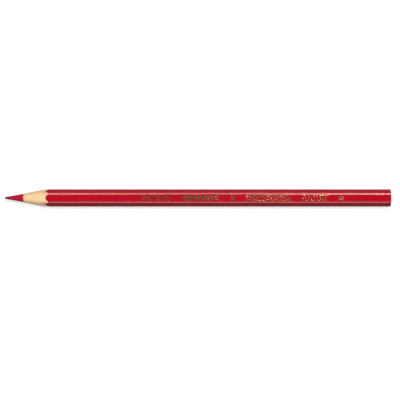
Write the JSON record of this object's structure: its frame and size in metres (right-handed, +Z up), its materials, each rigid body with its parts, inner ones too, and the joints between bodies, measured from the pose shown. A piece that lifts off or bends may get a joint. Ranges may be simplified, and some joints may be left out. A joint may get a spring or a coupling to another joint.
{
  "type": "colored pencil",
  "caption": "Sharpened hexagonal wood-cased red colored pencil, with a thick pigment core, glossy lacquer and gold foil ornaments.",
  "frame": {"origin": "on the resting facet, at the middle of the pencil's length and width", "axes": "+X along the pencil from the point to the butt end, +Y across it from edge to edge, +Z up out of the facet with the foil"},
  "size_m": [0.175, 0.0078, 0.0071],
  "materials": {
    "pigment": "satin",
    "cedar": "matte",
    "glue": "satin",
    "primer": "matte",
    "lacquer": "gloss",
    "foil": "polished"
  },
  "bodies": {
    "root": {"pigment_core": "pigment", "upper_slat": "cedar", "lower_slat": "cedar", "glue_film": "glue", "primer_coat": "primer", "lacquer_coat": "lacquer", "foil_rope_band": "foil", "foil_leaf_sprig": "foil", "foil_middle_rosette": "foil", "foil_lozenge_chain": "foil", "foil_key_band": "foil", "foil_rear_rosette": "foil"}
  },
  "joints": []
}
